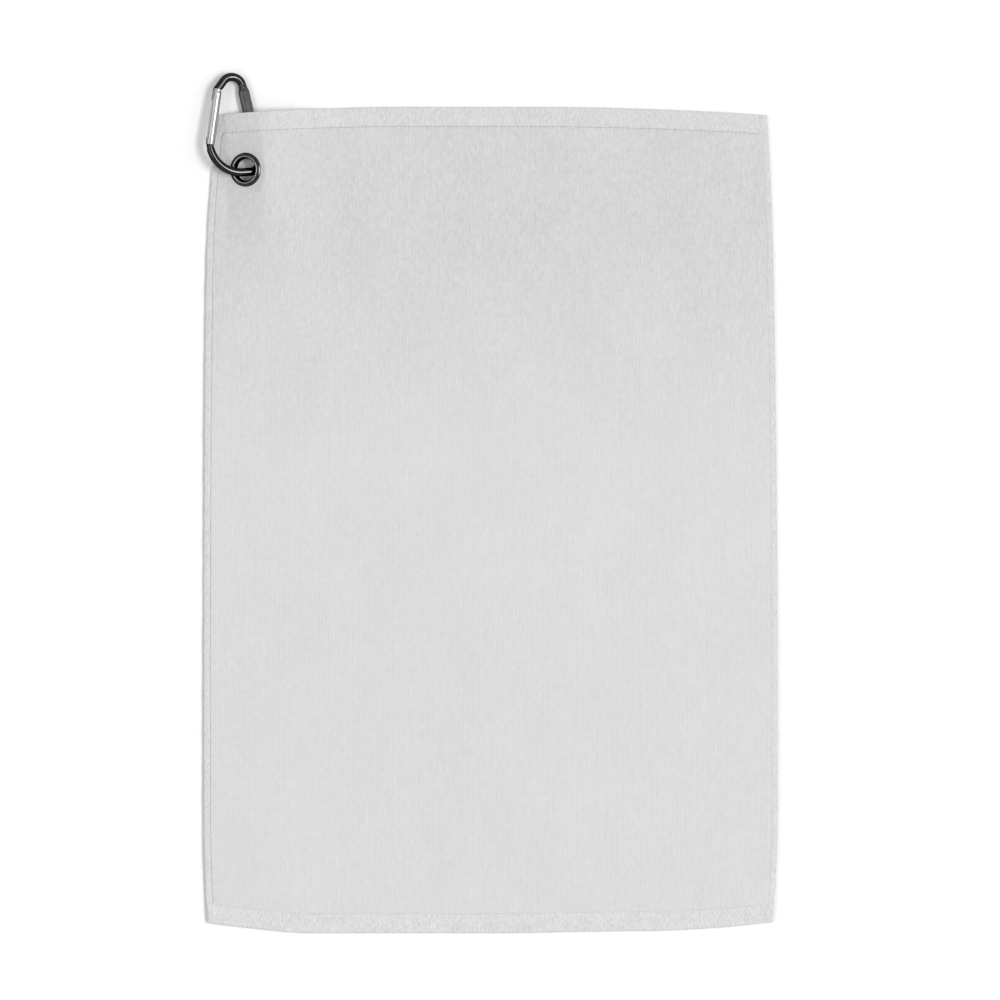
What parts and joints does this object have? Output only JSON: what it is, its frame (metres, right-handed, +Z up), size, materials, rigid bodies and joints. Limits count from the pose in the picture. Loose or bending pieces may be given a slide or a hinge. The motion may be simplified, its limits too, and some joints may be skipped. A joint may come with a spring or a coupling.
{
  "type": "golf towel",
  "caption": "Ribbed velour golf towel lying flat, with flat woven hems, a corner eyelet and a snap clip whose sprung gate opens inwards.",
  "frame": {"origin": "on the ground, under the middle of the whole object's box", "axes": "+Z up from the ground, +Y towards the hem with the eyelet, +X to the right with the face up"},
  "size_m": [0.35, 0.5243, 0.0139],
  "materials": {
    "velour": "matte",
    "hem_cloth": "matte",
    "thread": "matte",
    "eyelet_metal": "polished",
    "clip_metal": "polished",
    "gate_metal": "polished",
    "steel": "satin"
  },
  "bodies": {
    "towel": {"towel_panel": "velour", "top_hem": "hem_cloth", "bottom_hem": "hem_cloth", "left_hem": "hem_cloth", "right_hem": "hem_cloth", "top_stitching": "thread", "bottom_stitching": "thread", "left_stitching": "thread", "right_stitching": "thread", "eyelet": "eyelet_metal", "eyelet_washer": "eyelet_metal"},
    "clip": {"clip_body": "clip_metal"},
    "gate": {"clip_gate": "gate_metal", "gate_rivet": "steel", "gate_spring": "steel"},
    "plunger": {"gate_plunger": "steel"}
  },
  "joints": [
    {"name": "clip_lift", "type": "hinge", "parent": "towel", "child": "clip", "pos_m": [-0.14126, 0.20962, 0.0036], "axis": [-0.225, 0.9743, -0.0126], "range_deg": [0, 15]},
    {"name": "gate_open", "type": "hinge", "parent": "clip", "child": "gate", "pos_m": [-0.167, 0.24919, 0.00768], "axis": [0.2659, 0.0738, 0.9612], "range_deg": [0, 22], "stiffness_Nm_per_rad": 0.02, "springref_deg": -20.05},
    {"name": "plunger_slide", "type": "slide", "parent": "gate", "child": "plunger", "axis": [-0.1349, -0.9844, 0.1129], "range_m": [0, 0.0005], "deforming": ["gate_spring"]}
  ],
  "couplings": [
    {"joint": "plunger_slide", "follows": "gate_open", "m_per_rad": 0.0013}
  ]
}
